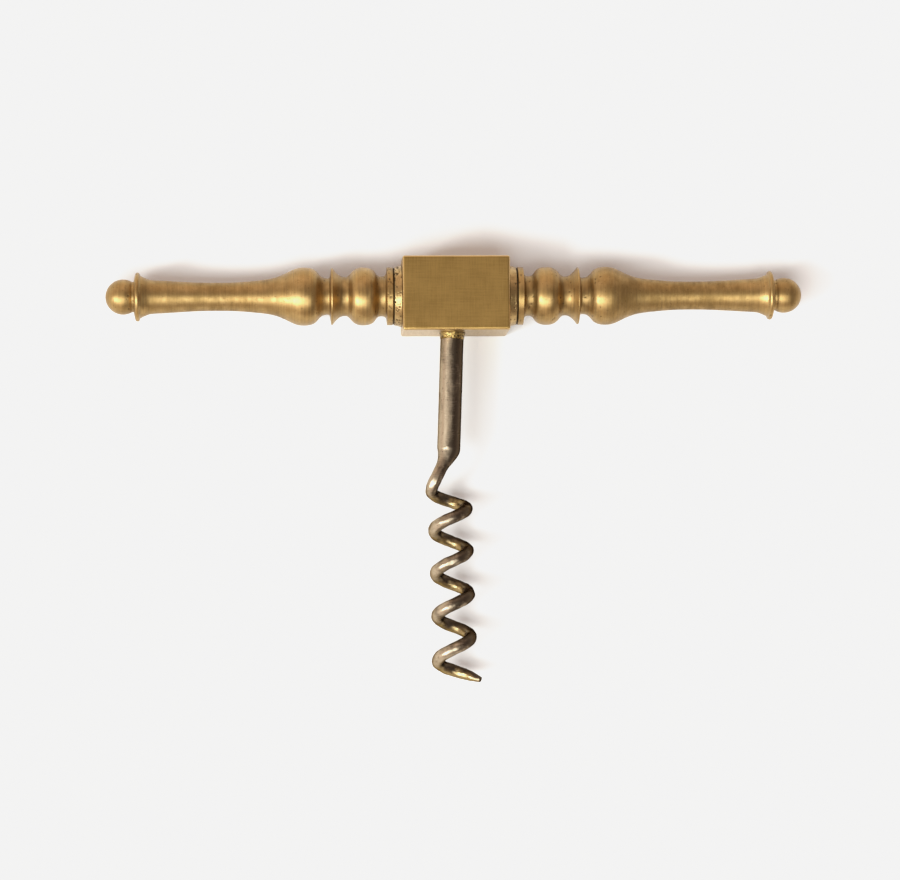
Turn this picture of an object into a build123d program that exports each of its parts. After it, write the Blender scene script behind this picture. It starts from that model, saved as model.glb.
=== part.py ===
"""Straight-pull corkscrew: two turned brass arms screwed to a square block, and a steel worm brazed into it.

Frame: millimetres. The corkscrew lies on the block's flat back, which is Z = 0, with +Z up. X runs along the
handle, and the worm points along -Y. The origin is the centre of the block's resting face.
"""

import os
from math import cos, exp, hypot, pi, radians, sin

from build123d import *

# Centre block, cut from bar that is a little broader, along Y, than it is thick
BLOCK_LENGTH = 20.0
BLOCK_BREADTH = 13.9
BLOCK_THICKNESS = 13.2
BLOCK_EDGE_RADIUS = 0.4
HALF_LENGTH = BLOCK_LENGTH / 2
HALF_BREADTH = BLOCK_BREADTH / 2
AXIS_HEIGHT = BLOCK_THICKNESS / 2  # the handle's axis and the worm's axis both lie this high

# Handle, over both end balls
HANDLE_LENGTH = 130.6
ARM_REACH = HANDLE_LENGTH / 2 - HALF_LENGTH  # from the block's face to the ball's far end

# Loose seat ring between the block and each arm, a short cone
RING_LENGTH = 1.55
RING_RADIUS_AT_BLOCK = 5.78
RING_RADIUS_AT_ARM = 5.43
SEAM_CHAMFER = 0.2  # on both sides of the seam between ring and arm

# M5 x 14 stud that joins each arm to the block
STUD_RADIUS = 2.5
STUD_LENGTH = 14.0
STUD_IN_BLOCK = 6.0
STUD_END_CHAMFER = 0.5
STUD_SOCKET_ACROSS_FLATS = 2.5
STUD_SOCKET_DEPTH = 2.4
THREAD_CLEARANCE = 0.05  # radial, of every threaded fit, because threads are plain cylinders here
HOLE_RUNOUT = 0.4  # how much deeper a hole in the block is than what it holds

# Outline of a turned arm: distance out from the block's face, and radius
SEAT_FLANGE_END, SEAT_FLANGE_RADIUS = 2.75, 5.42
FLANGE_ROOT = (2.9, 4.3)
NECK_AT, NECK_RADIUS = 3.85, 3.73
BEAD_AT, BEAD_RADIUS = 7.25, 5.45
BEAD_SHOULDER_IN, BEAD_SHOULDER_OUT = (5.1, 4.71), (9.45, 4.45)
GROOVE_AT, GROOVE_RADIUS = 10.65, 3.66
DISC_CONE = (11.85, 4.12)
DISC_INNER_EDGE, DISC_OUTER_EDGE = (12.95, 5.36), (13.2, 5.31)
DISC_ROOT = (13.45, 3.68)
COLLAR_AT, COLLAR_RADIUS = 13.95, 3.42
BULB_SHOULDER = (16.05, 4.83)
BULB_AT, BULB_RADIUS = 18.35, 5.46
TAPER = [(21.15, 4.63), (23.25, 3.7), (26.45, 3.09), (29.2, 2.84)]  # from the bulb down to the grip
WAIST_AT, WAIST_RADIUS = 34.95, 2.65
GRIP_END = (46.7, 3.2)
GRIP_END_SLOPE = 0.055
LIP_FLARE = (48.1, 3.66)
LIP_AT, LIP_RADIUS, LIP_HALF_WIDTH = 49.3, 4.58, 0.45
ARM_END, ARM_END_RADIUS = 49.95, 3.37

# End ball, screwed into the arm by its own M3 spigot
BALL_RADIUS = 3.3
BALL_NECK_RADIUS = 2.87
SPIGOT_RADIUS = 1.5
SPIGOT_LENGTH = 4.5
SPIGOT_END_CHAMFER = 0.3
BALL_AT = ARM_REACH - BALL_RADIUS

# Worm: a round shank whose lower end is drawn down to a wire and wound into a right-handed helix.
# Distances are measured down the worm from the handle's axis, and turns from the helix's first crest.
SHANK_RADIUS = 2.17
SHANK_TOP = -0.6  # the tang's end, inside the block
SHANK_X = -0.55  # where the shank leaves the block
SHANK_LEAN = -0.0377  # sideways drift per millimetre
SHANK_END = 28.6
WIRE_RADIUS = 1.14
HELIX_RADIUS = 3.05
HELIX_PITCH = 7.99
HELIX_START = 35.82  # the first crest, on the -X side
HELIX_START_X = -1.42
HELIX_LEAN = 1.7  # degrees, towards +X
LOOSE_AT, LOOSE_TURNS = (0.12, 4.15), 0.35  # hand winding left the helix's first and last turns looser
LOOSE_OUT = (0.28, 0.28)  # how much wider each of them is
LOOSE_DOWN = (0.55, 0.32)  # and how much further down
WIRE_PER_TURN = hypot(2 * pi * HELIX_RADIUS, HELIX_PITCH)
STRAIGHT_FROM = 4.33  # turns, after which the wire runs straight on
WIRE_END = 4.51
TAPER_FROM = 4.28
TIP_RADIUS = 0.56
TAPER_POWER = 1.6  # above 1, the taper starts gently
SECTIONS_PER_TURN = 12
SECTION_SPACING = WIRE_PER_TURN / SECTIONS_PER_TURN
STRAIGHT_SECTIONS = 4  # of the shank's end, so that the loft starts straight
BEND_REACH_TOP, BEND_REACH_BOTTOM = 2.0, 3.4  # how far the bend keeps each end's direction
BEND_LENGTH = 9.3  # along the wire, from the shank's end to the first crest
DRAWN_BY = 0.48  # share of the bend over which the shank thins to the wire
TANG_CLEARANCE = 0.05

# Brazing meniscus round the shank's root
BRAZE_HEIGHT = 1.1
BRAZE_FLARE = 0.55
BRAZE_THICKNESS = 0.08
BRAZE_OVERLAP = 0.5  # drawn that far into the block, then cut at the block's face

SIDES = {"left": -1, "right": 1}


def out_from_block(profile, side):
    """Turns a closed profile, drawn as (distance out, radius), round the handle's axis on that side."""
    x_dir = (side, 0, 0)
    plane = Plane(origin=(side * HALF_LENGTH, 0, AXIS_HEIGHT), x_dir=x_dir, z_dir=(0, -side, 0))
    return revolve(plane * profile, Axis((0, 0, AXIS_HEIGHT), (1, 0, 0)))


def cylinder_out(radius, start, end, side):
    """A cylinder on the handle's axis, between two distances out from the block's face."""
    plane = Plane(origin=(side * (HALF_LENGTH + start), 0, AXIS_HEIGHT), z_dir=(side, 0, 0))
    return extrude(plane * Circle(radius), end - start)


def shank_x(down):
    return SHANK_X + SHANK_LEAN * (down - HALF_BREADTH)


def shank_plane(down):
    """The plane across the shank at that distance down, facing down the worm."""
    return Plane(origin=(shank_x(down), -down, AXIS_HEIGHT), z_dir=(SHANK_LEAN, -1, 0))


def centre_block():
    body = fillet(Box(BLOCK_LENGTH, BLOCK_BREADTH, BLOCK_THICKNESS).edges(), BLOCK_EDGE_RADIUS)
    body = Pos(0, 0, AXIS_HEIGHT) * body
    for side in SIDES.values():
        body -= cylinder_out(STUD_RADIUS + THREAD_CLEARANCE, -STUD_IN_BLOCK - HOLE_RUNOUT, 1, side)
    depth = HALF_BREADTH - SHANK_TOP + HOLE_RUNOUT
    body -= extrude(shank_plane(HALF_BREADTH + 1) * Circle(SHANK_RADIUS + TANG_CLEARANCE), -depth - 1)
    return body


def seat_ring(side):
    bore = STUD_RADIUS + 2 * THREAD_CLEARANCE
    outline = Polyline(
        (0, bore),
        (0, RING_RADIUS_AT_BLOCK),
        (RING_LENGTH - SEAM_CHAMFER, RING_RADIUS_AT_ARM),
        (RING_LENGTH, RING_RADIUS_AT_ARM - SEAM_CHAMFER),
        (RING_LENGTH, bore),
        close=True,
    )
    return out_from_block(make_face(outline), side)


def arm_outline():
    """The edges of an arm's outline, out from its seat and back along the axis."""
    seat = (RING_LENGTH, 0)
    seat_edge = (RING_LENGTH, SEAT_FLANGE_RADIUS - SEAM_CHAMFER)
    flange_start = (RING_LENGTH + SEAM_CHAMFER, SEAT_FLANGE_RADIUS)
    flange_end = (SEAT_FLANGE_END, SEAT_FLANGE_RADIUS)
    neck = (NECK_AT, NECK_RADIUS)
    bead = (BEAD_AT, BEAD_RADIUS)
    groove = (GROOVE_AT, GROOVE_RADIUS)
    collar = (COLLAR_AT, COLLAR_RADIUS)
    bulb = (BULB_AT, BULB_RADIUS)
    waist = (WAIST_AT, WAIST_RADIUS)
    lip_inner_edge = (LIP_AT - LIP_HALF_WIDTH, LIP_RADIUS - LIP_HALF_WIDTH)
    lip_crest = (LIP_AT, LIP_RADIUS)
    lip_outer_edge = (LIP_AT + LIP_HALF_WIDTH, LIP_RADIUS - LIP_HALF_WIDTH)
    level = (1, 0)
    opening = (1, GRIP_END_SLOPE)
    steeply_down = (0.2, -1)
    steeply_up = (0.7, 1)
    return [
        Polyline(seat, seat_edge, flange_start, flange_end, FLANGE_ROOT),
        Spline(FLANGE_ROOT, neck, tangents=[steeply_down, level]),
        Spline(neck, BEAD_SHOULDER_IN, bead, tangents=[level, level]),
        Spline(bead, BEAD_SHOULDER_OUT, groove, tangents=[level, level]),
        Spline(groove, DISC_CONE, DISC_INNER_EDGE, tangents=[level, steeply_up]),
        Polyline(DISC_INNER_EDGE, DISC_OUTER_EDGE, DISC_ROOT),
        Spline(DISC_ROOT, collar, tangents=[steeply_down, level]),
        Spline(collar, BULB_SHOULDER, bulb, tangents=[level, level]),
        Spline(bulb, *TAPER, waist, tangents=[level, level]),
        Spline(waist, GRIP_END, tangents=[level, opening]),
        Spline(GRIP_END, LIP_FLARE, lip_inner_edge, tangents=[opening, steeply_up]),
        ThreePointArc(lip_inner_edge, lip_crest, lip_outer_edge),
        Polyline(lip_outer_edge, (ARM_END, ARM_END_RADIUS), (ARM_END, 0), seat),
    ]


def arm(side):
    body = out_from_block(make_face(arm_outline()), side)
    stud_end = STUD_LENGTH - STUD_IN_BLOCK
    body -= cylinder_out(STUD_RADIUS + THREAD_CLEARANCE, RING_LENGTH - 1, stud_end, side)
    spigot_end = ARM_END - SPIGOT_LENGTH
    body -= cylinder_out(SPIGOT_RADIUS + THREAD_CLEARANCE, spigot_end, ARM_END + 1, side)
    return body


def stud(side):
    body = cylinder_out(STUD_RADIUS, -STUD_IN_BLOCK, STUD_LENGTH - STUD_IN_BLOCK, side)
    body = chamfer(body.edges(), STUD_END_CHAMFER)
    inner_end = Plane(origin=(side * (HALF_LENGTH - STUD_IN_BLOCK), 0, AXIS_HEIGHT), z_dir=(side, 0, 0))
    socket = RegularPolygon(STUD_SOCKET_ACROSS_FLATS / 2, 6, major_radius=False)
    return body - extrude(inner_end * socket, STUD_SOCKET_DEPTH)


def end_ball(side):
    spigot_start = ARM_END - SPIGOT_LENGTH
    spigot_tip = (spigot_start, SPIGOT_RADIUS - SPIGOT_END_CHAMFER)
    spigot_shoulder = (spigot_start + SPIGOT_END_CHAMFER, SPIGOT_RADIUS)
    neck_meets_ball = BALL_AT - (BALL_RADIUS**2 - BALL_NECK_RADIUS**2) ** 0.5
    neck_start = (ARM_END, BALL_NECK_RADIUS)
    neck_end = (neck_meets_ball, BALL_NECK_RADIUS)
    crown = (BALL_AT, BALL_RADIUS)
    nose = (BALL_AT + BALL_RADIUS, 0)
    outline = [
        Polyline((spigot_start, 0), spigot_tip, spigot_shoulder),
        Polyline(spigot_shoulder, (ARM_END, SPIGOT_RADIUS), neck_start, neck_end),
        ThreePointArc(neck_end, crown, nose),
        Line(nose, (spigot_start, 0)),
    ]
    return out_from_block(make_face(outline), side)


def looseness(turns, amounts):
    """How far the loose turns carry the wire at that point: a soft bump at each loose turn."""
    return sum(amount * exp(-(((turns - at) / LOOSE_TURNS) ** 2)) for at, amount in zip(LOOSE_AT, amounts))


def helix_point(turns):
    """The wire's centre after that many turns, before it runs straight."""
    angle = pi + 2 * pi * turns
    radius = HELIX_RADIUS + looseness(turns, LOOSE_OUT)
    drop = HELIX_PITCH * turns + looseness(turns, LOOSE_DOWN)
    lean = radians(HELIX_LEAN)
    down = Vector(sin(lean), -cos(lean), 0)
    across = Vector(cos(lean), sin(lean), 0)
    start = Vector(HELIX_START_X, -HELIX_START, AXIS_HEIGHT)
    return start + down * drop + across * (radius * cos(angle)) + Vector(0, 0, radius * sin(angle))


def helix_direction(turns):
    step = 0.001
    return (helix_point(turns + step) - helix_point(turns - step)).normalized()


def wire_point(turns):
    wound = min(turns, STRAIGHT_FROM)
    return helix_point(wound) + helix_direction(wound) * ((turns - wound) * WIRE_PER_TURN)


def wire_radius(turns):
    share = max(0.0, turns - TAPER_FROM) / (WIRE_END - TAPER_FROM)
    return WIRE_RADIUS + (TIP_RADIUS - WIRE_RADIUS) * share**TAPER_POWER


def bend_point(t):
    """The bend from the shank's end, at t = 0, to the helix's first crest, at t = 1: a cubic curve."""
    start = shank_plane(SHANK_END).origin
    end = helix_point(0)
    top_handle = start + shank_plane(SHANK_END).z_dir * BEND_REACH_TOP
    bottom_handle = end - helix_direction(0) * BEND_REACH_BOTTOM
    s = 1 - t
    return start * s**3 + top_handle * (3 * s * s * t) + bottom_handle * (3 * s * t * t) + end * t**3


def bend_radius(t):
    share = min(1.0, t / DRAWN_BY)
    eased = share * share * (3 - 2 * share)
    return SHANK_RADIUS + (WIRE_RADIUS - SHANK_RADIUS) * eased


def worm_stations():
    """(centre, radius) of evenly spaced sections, from just above the shank's end to the tip."""
    stations = []
    for i in range(STRAIGHT_SECTIONS, 0, -1):
        stations.append((shank_plane(SHANK_END - SECTION_SPACING * i).origin, SHANK_RADIUS))
    bend_steps = round(BEND_LENGTH / SECTION_SPACING)
    for i in range(bend_steps):
        t = i / bend_steps
        stations.append((bend_point(t), bend_radius(t)))
    wire_steps = round(WIRE_END * WIRE_PER_TURN / SECTION_SPACING)
    for i in range(wire_steps + 1):
        turns = WIRE_END * i / wire_steps
        stations.append((wire_point(turns), wire_radius(turns)))
    return stations


def worm():
    """A plain shank, then one smooth loft of round sections that are square to the wire and don't twist."""
    stations = worm_stations()
    centres = [centre for centre, _ in stations]
    aheads = centres[1:] + centres[-1:]
    behinds = centres[:1] + centres[:-1]
    across = Vector(0, 0, 1)
    sections = []
    for (centre, radius), ahead, behind in zip(stations, aheads, behinds):
        along = (ahead - behind).normalized()
        across = (across - along * across.dot(along)).normalized()
        sections.append(Plane(origin=centre, x_dir=across, z_dir=along) * Circle(radius))
    top = shank_plane(SHANK_TOP)
    shank = extrude(top * Circle(SHANK_RADIUS), (centres[0] - top.origin).length)
    return shank + loft(sections)


def braze_fillet():
    """The brass meniscus between the block's lower face and the shank, turned round the shank's axis."""
    root = shank_plane(HALF_BREADTH)
    foot = SHANK_RADIUS + BRAZE_FLARE
    crest = SHANK_RADIUS + BRAZE_THICKNESS
    inside_block = -BRAZE_OVERLAP
    outline = [
        Polyline((SHANK_RADIUS, BRAZE_HEIGHT), (SHANK_RADIUS, inside_block), (foot, inside_block), (foot, 0)),
        Spline((foot, 0), (crest, BRAZE_HEIGHT), tangents=[(-1, 0.2), (-0.1, 1)]),
        Line((crest, BRAZE_HEIGHT), (SHANK_RADIUS, BRAZE_HEIGHT)),
    ]
    section = Plane(origin=root.origin, x_dir=root.x_dir, z_dir=root.x_dir.cross(root.z_dir))
    ring = revolve(section * make_face(outline), Axis(root.origin, root.z_dir))
    below_block = Pos(0, -BLOCK_BREADTH, AXIS_HEIGHT) * Box(BLOCK_LENGTH, BLOCK_BREADTH, BLOCK_THICKNESS)
    return ring & below_block


def parts():
    made = {"centre_block": centre_block(), "worm": worm(), "braze_fillet": braze_fillet()}
    for name, side in SIDES.items():
        made[f"{name}_seat_ring"] = seat_ring(side)
        made[f"{name}_stud"] = stud(side)
        made[f"{name}_arm"] = arm(side)
        made[f"{name}_end_ball"] = end_ball(side)
    return made


os.makedirs("parts", exist_ok=True)
for node, shape in parts().items():
    export_step(shape, f"parts/{node}.step")
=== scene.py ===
"""Looks of the straight-pull corkscrew: turned brass arms, a brushed brass block and a forged steel worm.

Metres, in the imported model's frame: the corkscrew lies on the block's flat back, which is z = 0. The handle
runs along X and the worm along -Y. "Out" is a distance along the handle from the block's end face.
"""

from itertools import product
from math import cos, exp, hypot, inf, pi, radians, sin

import bmesh
import bpy
import numpy as np
from mathutils import Matrix, Vector


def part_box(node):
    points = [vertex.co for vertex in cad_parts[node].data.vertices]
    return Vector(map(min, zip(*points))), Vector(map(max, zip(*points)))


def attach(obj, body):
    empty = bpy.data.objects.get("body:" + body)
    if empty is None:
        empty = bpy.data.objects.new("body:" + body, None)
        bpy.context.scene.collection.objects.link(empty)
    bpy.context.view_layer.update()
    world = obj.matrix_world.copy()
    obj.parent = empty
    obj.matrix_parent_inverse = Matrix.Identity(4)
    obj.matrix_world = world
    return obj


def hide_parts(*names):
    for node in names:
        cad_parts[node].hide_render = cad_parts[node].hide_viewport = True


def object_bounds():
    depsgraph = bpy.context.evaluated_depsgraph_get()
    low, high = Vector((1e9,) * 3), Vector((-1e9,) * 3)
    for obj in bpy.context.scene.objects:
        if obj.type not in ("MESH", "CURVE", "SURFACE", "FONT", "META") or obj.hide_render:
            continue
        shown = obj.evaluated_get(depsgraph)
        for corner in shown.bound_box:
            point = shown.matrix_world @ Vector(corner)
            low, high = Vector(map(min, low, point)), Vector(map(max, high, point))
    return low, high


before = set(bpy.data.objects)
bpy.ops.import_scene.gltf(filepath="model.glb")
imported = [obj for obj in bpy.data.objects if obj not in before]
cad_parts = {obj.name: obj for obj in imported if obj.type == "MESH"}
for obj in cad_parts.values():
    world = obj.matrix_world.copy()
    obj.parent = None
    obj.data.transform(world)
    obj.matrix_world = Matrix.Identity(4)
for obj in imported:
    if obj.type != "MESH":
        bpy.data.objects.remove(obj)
cad_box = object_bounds()

MM = 0.001
NOT_ZERO = 1e-12
SIDES = {"left": -1, "right": 1}

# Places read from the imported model
BLOCK_LOW, BLOCK_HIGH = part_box("centre_block")
HALF_LENGTH = BLOCK_HIGH.x
HALF_BREADTH = BLOCK_HIGH.y
AXIS_HEIGHT = (BLOCK_LOW.z + BLOCK_HIGH.z) / 2
STUD_LOW, STUD_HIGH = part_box("right_stud")
STUD_RADIUS = STUD_HIGH.y
STUD_START, STUD_END = STUD_LOW.x - HALF_LENGTH, STUD_HIGH.x - HALF_LENGTH
RING_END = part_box("right_seat_ring")[1].x - HALF_LENGTH
ARM_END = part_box("right_arm")[1].x - HALF_LENGTH
SPIGOT_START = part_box("right_end_ball")[0].x - HALF_LENGTH

# Fits and edges of the machined parts
SPIGOT_RADIUS = 1.5 * MM
HOLE_CLEARANCE = 0.05 * MM
SEAT_GAP = 0.01 * MM  # keeps the face of each ring off the block's
HOLE_RUNOUT = 0.4 * MM
BLOCK_EDGE_RADIUS = 0.4 * MM
EDGE_FULLY_TURNED = 1 - cos(pi / 4)  # what on_edge reaches in the middle of an edge
CORNER_EASE = 0.035 * MM
SHARP_ANGLE = radians(45)
CENTRE_HOLE = 0.2 * MM  # the open outlines of turned parts stop this far from the axis
OUTLINE_STEP = 0.05 * MM
ARM_SEGMENTS, RING_SEGMENTS, BALL_SEGMENTS = 150, 300, 150
ARM_SPACING, RING_SPACING, BALL_SPACING = 0.17 * MM, 0.09 * MM, 0.1 * MM
ARM_SEED, RING_SEED, BALL_SEED = 100, 200, 300
BLOCK_SEED, ROD_SEED, HAMMER_SEED, BRAZE_SEED = 5, 31, 71, 41

# The stud's thread
THREAD_PITCH, THREAD_DEPTH = 0.8 * MM, 0.46 * MM
THREAD_CHAMFER = 0.55 * MM
SOCKET_HALF_WIDTH, SOCKET_DEPTH = 1.25 * MM, 2.4 * MM

# Surface of the turned parts
TOOL_MARKS = [  # (size in mm along X, Y and Z), height in thousandths of a mm
    ((0.35, 9, 9), 0.9),
    ((1.1, 14, 14), 2.2),
    ((2.6, 2.6, 2.6), 7.0),
]
PITTED_OUTSIDE = STUD_RADIUS + 0.2 * MM  # pits are on the outer skin, not in the holes
MARKED_OUTSIDE = STUD_RADIUS + 0.15 * MM
PIT_SIZE, PIT_DEPTH = (0.09 * MM, 0.24 * MM), 0.05 * MM
ARM_PITS = {  # from and to, in mm out, and how many
    "left": [(1.6, 2.75, 50), (3.0, 5.0, 26), (10, 12.5, 6), (13.4, 16, 14), (17, 30, 5), (48, 49.8, 4)],
    "right": [(1.6, 2.75, 16), (3.0, 5.0, 18), (8, 12.3, 26), (13.4, 17.5, 24), (18, 30, 3), (48, 49.8, 6)],
}
RING_PITS = {"left": [(0.1, 1.5, 90)], "right": [(0.1, 1.5, 30)]}
BALL_PITS = [(50.0, 51.2, 10), (51.2, 54, 5)]
ARM_FILM_AND_SHADE = {  # mm out, and how much film from handling is on the brass there; on the right arm's grip it is heavier as painted shade for that side's dimmer light
    "left": [(0, 0.5), (5, 0.3), (10, 0.15), (19, 0.1), (23, 1.1), (34, 1.7), (46, 1.3), (49, 0.3)],
    "right": [(0, 0.5), (5, 0.3), (16, 0.3), (19, 1.6), (36, 2.1), (45, 1.3), (48, 0.3)],
}
NOT_DULLED, BALL_DULLED = [(0, 0)], [(0, 0.8)]
VALLEY_DEPTH = 0.9 * MM  # how far below its surroundings a groove is fully dark with patina and painted shade
ARM_SEAM, BLOCK_SEAM = 0.24 * MM, 0.14 * MM  # how far the dark seam reaches from each end of a ring

# Shank and worm: the same curve as the imported model's, with distances measured down from the handle's axis
SHANK_RADIUS = 2.17 * MM
SHANK_TOP = -0.6 * MM
SHANK_X = -0.55 * MM
SHANK_LEAN = -0.0377
SHANK_END = 28.6 * MM
WIRE_RADIUS = 1.14 * MM
HELIX_RADIUS = 3.05 * MM
HELIX_PITCH = 7.99 * MM
HELIX_START = 35.82 * MM
HELIX_START_X = -1.42 * MM
HELIX_LEAN = radians(1.7)
LOOSE_AT, LOOSE_TURNS = (0.12, 4.15), 0.35  # where the wire is wound loosely, in turns, and how widely
LOOSE_OUT = (0.28 * MM, 0.28 * MM)
LOOSE_DOWN = (0.55 * MM, 0.32 * MM)
WIRE_PER_TURN = hypot(2 * pi * HELIX_RADIUS, HELIX_PITCH)
STRAIGHT_FROM = 4.33  # the turn from which the wire runs on straight
WIRE_END = 4.51
TAPER_FROM = 4.28
TIP_RADIUS = 0.56 * MM
TAPER_POWER = 1.6
BEND_REACH_TOP, BEND_REACH_BOTTOM = 2.0 * MM, 3.4 * MM
BEND_LENGTH = 9.3 * MM
DRAWN_BY = 0.48  # the share of the bend by which the rod is down to the wire's radius
ROD_SEGMENTS, ROD_SPACING = 72, 0.22 * MM
HAMMER_BLOWS = 150
FLATS_FROM = 31 * MM  # along the rod from its top
FLAT_REACH, FLAT_DEPTH = (0.7 * MM, 2.2 * MM), (0.02, 0.07)  # the depth is a share of the radius
SHANK_ROUGHNESS = 0.15  # the shank's share of the lumps that the wound wire has
LUMPS = [(2.2, 0.07), (0.8, 0.045)]  # size and height in mm
RIPPLES = ((3.0, 0.35, 3.0), 0.003)  # short along the worm; size along X, Y and Z, and height, in mm
SMOOTH_PAST_BLOCK = 0.3 * MM  # the rod is exact in its hole, and for this far below it
CUT_END_RINGS = [(0.93, 1), (0.6, 1.1), (0.25, 1.1)]  # share of the radius, share of CUT_END_RISE
CUT_END_RISE = 0.03 * MM

# Braze
BRAZE_SPREAD = 0.6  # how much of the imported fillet's foot the bead covers
BRAZE_CREST = 0.07 * MM
BRAZE_CURVE = 2.2
BRAZE_LUMP, BRAZE_RAGGED = 0.16 * MM, 0.14 * MM
BRAZE_LUMPS = [(0.9, 0.5), (0.45, 0.25)]  # size in mm, and share of BRAZE_LUMP
BRAZE_RISE = 1.1 * MM  # the size of the waves in its upper edge
SKIN = 0.02 * MM  # how deep the bead's hidden side is in the shank

# Camera
CAMERA_AT = Vector((-0.03223, -0.072193, 0.65564))
CAMERA_AIM = Vector((-0.001122, -0.027019, 0.0066))
CAMERA_ROLL = radians(-0.459)
LENS = 139.36
SENSOR = 36.0

# Light
SUN_FROM = Vector((-1.08, -0.47, 1.0))
SUN_STRENGTH = 1.25
SUN_WIDTH = radians(13)
SUN_COLOUR = (0.95, 1.0, 1.02)
BOX_HEIGHT = 0.9
BOX_AT = Vector((-0.7, -0.55, 1.0)) * BOX_HEIGHT
BOX_SIZE = (2.0 * BOX_HEIGHT, 0.7 * BOX_HEIGHT)
BOX_POWER = 19.0
SKY_COLOUR = (1.14, 0.94, 0.87)
SKY_ZENITH, SKY_HORIZON = 0.28, 0.75
SKY_WEST = 0.4
SKY_POWER = 2.5
SKY_LEAST = 0.05
GLOWS = [  # direction, tightness, strength
    ((0.0, 0.88, 0.47), 5, 0.85),
    ((-0.3, -0.68, 0.67), 12, 0.7),
    ((0.93, 0.0, 0.37), 6, 0.35),
]
PAPER_WHITE = 0.896  # the display's brightest tone
PAPER_WARMTH = 0.984  # how much of its blue is left there
SHOULDER = [(0.7, 0.7), (0.87, 0.85)]
FLOOR_SIZE = 6.0
FLOOR_TONE = (0.846, 0.846, 0.837)
TOOTH_CONTRAST = 1.004


# ---------------------------------------------------------------- numbers and noise


def lattice(cells, seed):
    """A repeatable random number from 0 to 1 for each whole-number cell."""
    primes, seed_prime, stir_prime = np.array([374761393, 668265263, 1440670441]), 974711, 1274126177
    kept_bits = 0xFFFFFF
    mixed = cells @ primes + seed * seed_prime
    mixed = (mixed ^ (mixed >> 13)) * stir_prime
    mixed = mixed ^ (mixed >> 16)
    return (mixed & kept_bits) / kept_bits


def noise(points, size, seed):
    """Smooth noise from -1 to 1 at each point, with lumps of about that size."""
    scaled = points / size
    cells = np.floor(scaled).astype(np.int64)
    share = scaled - cells
    share = share * share * (3 - 2 * share)
    total = np.zeros(points.shape[:-1])
    for corner in product((0, 1), repeat=3):
        weight = np.prod(np.where(corner, share, 1 - share), axis=-1)
        total += weight * lattice(cells + np.array(corner), seed)
    return 2 * total - 1


def lengths(points):
    """The distance along a line of points, at each of them."""
    steps = np.linalg.norm(np.diff(points, axis=0), axis=1)
    return np.concatenate([[0], np.cumsum(steps)])


def at_lengths(points, wanted):
    """Points on the line at those distances along it."""
    along = lengths(points)
    return np.stack([np.interp(wanted, along, points[:, i]) for i in range(points.shape[1])], axis=1)


def round_angles(segments):
    """Evenly spaced angles, once round."""
    return np.arange(segments) * 2 * pi / segments


def softened(values, width, step):
    """Values evenly sampled at that step, blurred over that width, with both ends held."""
    reach = int(np.ceil(3 * width / step))
    weights = np.exp(-0.5 * (np.arange(-reach, reach + 1) * step / width) ** 2)
    padded = np.pad(values, reach, mode="reflect", reflect_type="odd")
    return np.convolve(padded, weights / weights.sum(), mode="valid")


# ---------------------------------------------------------------- pieces in mesh code


def placed(name, data):
    """A new object in the scene, at the origin."""
    made = bpy.data.objects.new(name, data)
    bpy.context.scene.collection.objects.link(made)
    return made


def finish_mesh(name, mesh):
    """The mesh as a piece, with its faces turned outwards and its edges soft where they aren't sharp."""
    work = bmesh.new()
    work.from_mesh(mesh)
    bmesh.ops.recalc_face_normals(work, faces=work.faces)
    work.to_mesh(mesh)
    work.free()
    mesh.shade_smooth()
    mesh.set_sharp_from_angle(angle=SHARP_ANGLE)
    return placed(name, mesh)


def grid_piece(name, grid, rows_close=False, grime_and_shade=None, dull_and_shade=None):
    """A closed piece from rows of points round it, with a fan at each end unless rows_close is set.

    The two looks, from 0 up, are how dirty and how filmed over the surface is at each point; both carry some
    painted shade, in the grooves and on the right arm's grip.
    """
    rows, columns = grid.shape[:2]
    points = grid.reshape(-1, 3)
    row = np.arange(rows if rows_close else rows - 1)[:, None]
    column = np.arange(columns)[None, :]
    next_row = (row + 1) % rows
    next_column = (column + 1) % columns
    corners = [
        row * columns + column,
        row * columns + next_column,
        next_row * columns + next_column,
        next_row * columns + column,
    ]
    faces = np.stack(np.broadcast_arrays(*corners), axis=-1).reshape(-1, 4).tolist()
    looks = {}
    for kind, found in (("grime_and_shade", grime_and_shade), ("dull_and_shade", dull_and_shade)):
        looks[kind] = np.zeros(len(points)) if found is None else found.reshape(-1)
    if not rows_close:
        for end in (0, rows - 1):
            pole = len(points)
            points = np.vstack([points, grid[end].mean(axis=0)])
            looks = {kind: np.append(found, 0) for kind, found in looks.items()}
            start = end * columns
            faces += [(pole, start + j, start + (j + 1) % columns) for j in range(columns)]
    mesh = bpy.data.meshes.new(name)
    mesh.from_pydata(points.tolist(), [], faces)
    for kind, found in looks.items():
        mesh.attributes.new(kind, "FLOAT", "POINT").data.foreach_set("value", found.astype(np.float32))
    return finish_mesh(name, mesh)


def cad_outline(node, side, bore, bore_end=inf):
    """The (out, radius) points of a turned CAD node's outer outline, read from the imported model.

    Points on the axis side of a bore of that radius are left out, as far out as the bore's end.
    """
    vertices = np.array([v.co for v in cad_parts[node].data.vertices])
    out, height = side * vertices[:, 0] - HALF_LENGTH, vertices[:, 2] - AXIS_HEIGHT
    slack = 0.01 * MM
    outside = (height > bore + slack) | ((out > bore_end + slack) & (height > -slack))
    on_top = (np.abs(vertices[:, 1]) < slack) & outside
    decimals = 7
    return np.unique(np.round(np.stack([out[on_top], height[on_top]], axis=1), decimals), axis=0)


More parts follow.
